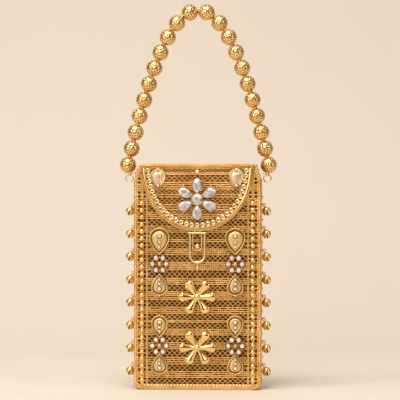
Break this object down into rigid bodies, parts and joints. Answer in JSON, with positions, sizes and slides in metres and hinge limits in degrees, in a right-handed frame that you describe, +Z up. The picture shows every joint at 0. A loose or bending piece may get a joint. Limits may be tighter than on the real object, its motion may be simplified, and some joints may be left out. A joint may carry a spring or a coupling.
{
  "type": "metal phone pouch",
  "caption": "Slim upright openwork metal box for a phone, with a hinged flap, a clasp that drops over a ball, little bells down its sides and a stiff arched handle of balls.",
  "frame": {"origin": "centre of the flat bottom, on the surface it stands on", "axes": "+Z up, the front with the flap faces -Y, +X to the right seen from the front"},
  "size_m": [0.1242, 0.0306, 0.3051],
  "materials": {
    "gold_wire": "satin",
    "gold_polished": "polished",
    "gold_hammered": "hammered and polished",
    "gold_pale": "satin",
    "crystal": "faceted"
  },
  "bodies": {
    "pouch": {"front_panel": "gold_wire", "back_panel": "gold_wire", "side_band": "gold_wire", "bead_column_left": "gold_polished", "bead_column_right": "gold_polished", "ornament_upper_left": "gold_pale", "ornament_upper_right": "gold_pale", "ornament_lower_left": "gold_pale", "ornament_lower_right": "gold_pale", "gold_flower_upper": "gold_polished", "gold_flower_lower": "gold_polished", "ball_stud": "gold_polished", "hinge_pin": "gold_polished"},
    "lid": {"lid_shell": "gold_wire", "lid_rim": "gold_pale", "corner_drop_left": "gold_pale", "corner_drop_right": "gold_pale", "crystal_flower": "crystal"},
    "hasp": {"hasp_loop": "gold_polished"},
    "handle": {"handle_wire": "gold_polished", "bead_01": "gold_hammered", "bead_02": "gold_hammered", "bead_03": "gold_hammered", "bead_04": "gold_hammered", "bead_05": "gold_hammered", "bead_06": "gold_hammered", "bead_07": "gold_hammered", "bead_08": "gold_hammered", "bead_09": "gold_hammered", "bead_10": "gold_hammered", "bead_11": "gold_hammered", "bead_12": "gold_hammered", "bead_13": "gold_hammered", "bead_14": "gold_hammered", "bead_15": "gold_hammered", "bead_16": "gold_hammered", "bead_17": "gold_hammered", "bead_18": "gold_hammered", "bead_19": "gold_hammered", "bead_20": "gold_hammered", "bead_21": "gold_hammered", "bead_22": "gold_hammered"},
    "ring_left": {"ring_left": "gold_polished"},
    "ring_right": {"ring_right": "gold_polished"},
    "bell_left_1": {"bell_left_1": "gold_polished"},
    "bell_left_2": {"bell_left_2": "gold_polished"},
    "bell_left_3": {"bell_left_3": "gold_polished"},
    "bell_left_4": {"bell_left_4": "gold_polished"},
    "bell_left_5": {"bell_left_5": "gold_polished"},
    "bell_left_6": {"bell_left_6": "gold_polished"},
    "bell_left_7": {"bell_left_7": "gold_polished"},
    "bell_left_8": {"bell_left_8": "gold_polished"},
    "bell_right_1": {"bell_right_1": "gold_polished"},
    "bell_right_2": {"bell_right_2": "gold_polished"},
    "bell_right_3": {"bell_right_3": "gold_polished"},
    "bell_right_4": {"bell_right_4": "gold_polished"},
    "bell_right_5": {"bell_right_5": "gold_polished"},
    "bell_right_6": {"bell_right_6": "gold_polished"},
    "bell_right_7": {"bell_right_7": "gold_polished"},
    "bell_right_8": {"bell_right_8": "gold_polished"}
  },
  "joints": [
    {"name": "lid_hinge", "type": "hinge", "parent": "pouch", "child": "lid", "pos_m": [0, 0.011, 0.1762], "axis": [-1, 0, 0], "range_deg": [0, 120]},
    {"name": "hasp_hinge", "type": "hinge", "parent": "lid", "child": "hasp", "pos_m": [0, -0.0144, 0.1242], "axis": [-1, 0, 0], "range_deg": [0, 110]},
    {"name": "handle_swing", "type": "hinge", "parent": "pouch", "child": "handle", "pos_m": [0, 0, 0.1701], "axis": [1, 0, 0], "range_deg": [-95, 95]},
    {"name": "ring_left_swing", "type": "hinge", "parent": "pouch", "child": "ring_left", "pos_m": [-0.0549, 0, 0.1701], "axis": [1, 0, 0], "range_deg": [-80, 80]},
    {"name": "ring_right_swing", "type": "hinge", "parent": "pouch", "child": "ring_right", "pos_m": [0.0549, 0, 0.1701], "axis": [1, 0, 0], "range_deg": [-80, 80]},
    {"name": "bell_left_1_swing", "type": "hinge", "parent": "pouch", "child": "bell_left_1", "pos_m": [-0.0521, 0, 0.1464], "axis": [0, 1, 0], "range_deg": [0, 90]},
    {"name": "bell_left_2_swing", "type": "hinge", "parent": "pouch", "child": "bell_left_2", "pos_m": [-0.0521, 0, 0.1282], "axis": [0, 1, 0], "range_deg": [0, 90]},
    {"name": "bell_left_3_swing", "type": "hinge", "parent": "pouch", "child": "bell_left_3", "pos_m": [-0.0521, 0, 0.11], "axis": [0, 1, 0], "range_deg": [0, 90]},
    {"name": "bell_left_4_swing", "type": "hinge", "parent": "pouch", "child": "bell_left_4", "pos_m": [-0.0521, 0, 0.0918], "axis": [0, 1, 0], "range_deg": [0, 90]},
    {"name": "bell_left_5_swing", "type": "hinge", "parent": "pouch", "child": "bell_left_5", "pos_m": [-0.0521, 0, 0.0736], "axis": [0, 1, 0], "range_deg": [0, 90]},
    {"name": "bell_left_6_swing", "type": "hinge", "parent": "pouch", "child": "bell_left_6", "pos_m": [-0.0521, 0, 0.0554], "axis": [0, 1, 0], "range_deg": [0, 90]},
    {"name": "bell_left_7_swing", "type": "hinge", "parent": "pouch", "child": "bell_left_7", "pos_m": [-0.0521, 0, 0.0372], "axis": [0, 1, 0], "range_deg": [0, 90]},
    {"name": "bell_left_8_swing", "type": "hinge", "parent": "pouch", "child": "bell_left_8", "pos_m": [-0.0521, 0, 0.019], "axis": [0, 1, 0], "range_deg": [0, 90]},
    {"name": "bell_right_1_swing", "type": "hinge", "parent": "pouch", "child": "bell_right_1", "pos_m": [0.0521, 0, 0.1464], "axis": [0, -1, 0], "range_deg": [0, 90]},
    {"name": "bell_right_2_swing", "type": "hinge", "parent": "pouch", "child": "bell_right_2", "pos_m": [0.0521, 0, 0.1282], "axis": [0, -1, 0], "range_deg": [0, 90]},
    {"name": "bell_right_3_swing", "type": "hinge", "parent": "pouch", "child": "bell_right_3", "pos_m": [0.0521, 0, 0.11], "axis": [0, -1, 0], "range_deg": [0, 90]},
    {"name": "bell_right_4_swing", "type": "hinge", "parent": "pouch", "child": "bell_right_4", "pos_m": [0.0521, 0, 0.0918], "axis": [0, -1, 0], "range_deg": [0, 90]},
    {"name": "bell_right_5_swing", "type": "hinge", "parent": "pouch", "child": "bell_right_5", "pos_m": [0.0521, 0, 0.0736], "axis": [0, -1, 0], "range_deg": [0, 90]},
    {"name": "bell_right_6_swing", "type": "hinge", "parent": "pouch", "child": "bell_right_6", "pos_m": [0.0521, 0, 0.0554], "axis": [0, -1, 0], "range_deg": [0, 90]},
    {"name": "bell_right_7_swing", "type": "hinge", "parent": "pouch", "child": "bell_right_7", "pos_m": [0.0521, 0, 0.0372], "axis": [0, -1, 0], "range_deg": [0, 90]},
    {"name": "bell_right_8_swing", "type": "hinge", "parent": "pouch", "child": "bell_right_8", "pos_m": [0.0521, 0, 0.019], "axis": [0, -1, 0], "range_deg": [0, 90]}
  ]
}
